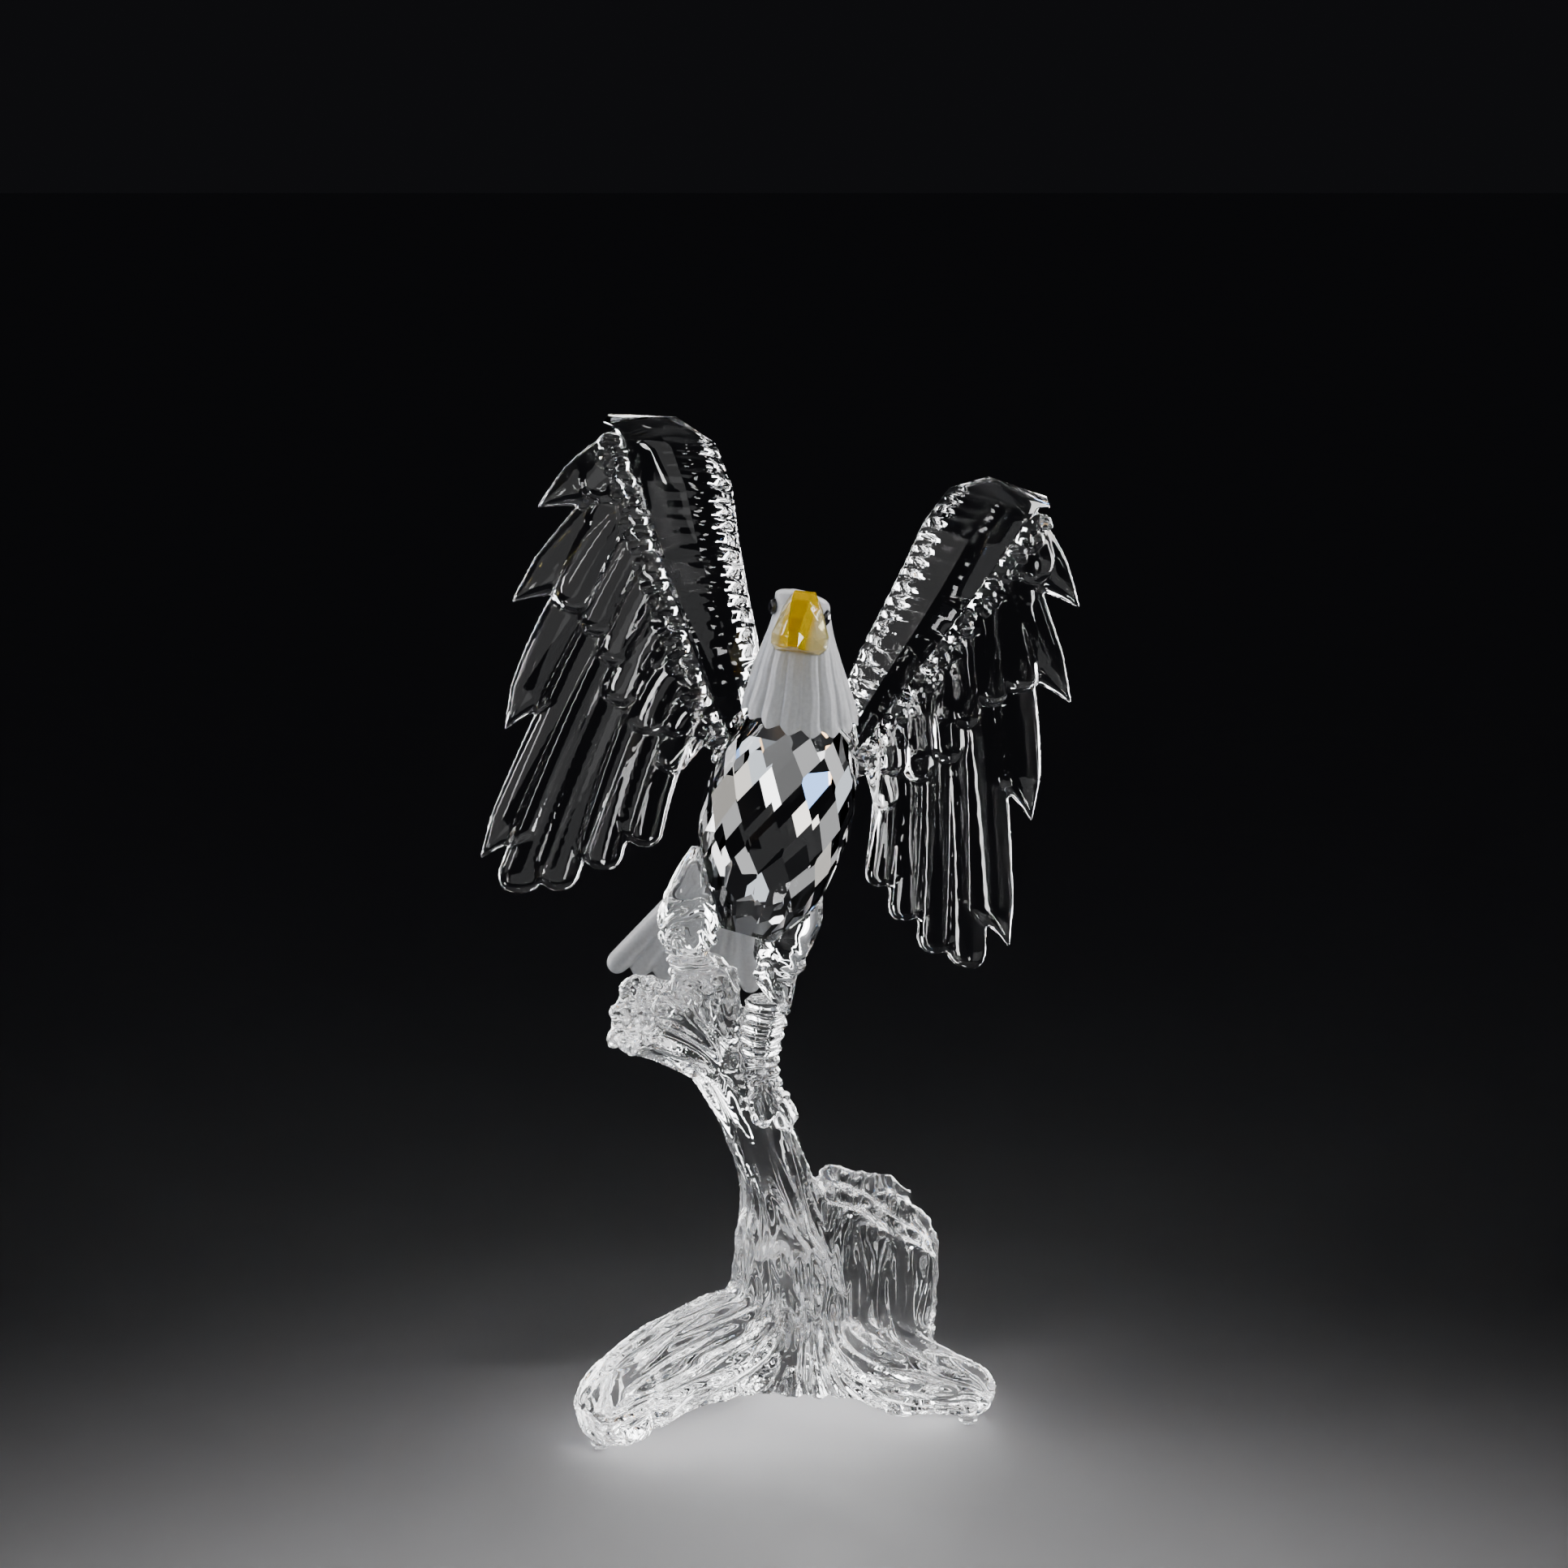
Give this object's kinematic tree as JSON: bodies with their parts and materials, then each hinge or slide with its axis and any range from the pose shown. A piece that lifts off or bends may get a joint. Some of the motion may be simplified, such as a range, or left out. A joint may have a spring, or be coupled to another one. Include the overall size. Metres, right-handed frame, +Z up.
{
  "type": "crystal eagle figurine",
  "caption": "Clear crystal eagle with raised feathered wings, frosted head and tail and a yellow beak, landing on a cast driftwood perch.",
  "frame": {"origin": "middle of the figurine's footprint box, on the table it stands on", "axes": "+Z up, the eagle faces -Y, +X to the right of someone who faces the eagle"},
  "size_m": [0.1276, 0.0626, 0.2153],
  "materials": {
    "crystal": "clear polished crystal",
    "frosted_crystal": "matt frosted crystal",
    "yellow_crystal": "clear yellow crystal, cut and polished",
    "black_bead": "black bead, high gloss",
    "bumper": "clear soft rubber dome"
  },
  "bodies": {
    "root": {"body": "crystal", "head": "frosted_crystal", "beak": "yellow_crystal", "eye_left": "black_bead", "eye_right": "black_bead", "wing_left": "crystal", "wing_right": "crystal", "tail": "frosted_crystal", "thigh_left": "crystal", "thigh_right": "crystal", "driftwood": "crystal", "bumper_left": "bumper", "bumper_right": "bumper", "bumper_back": "bumper"}
  },
  "joints": []
}
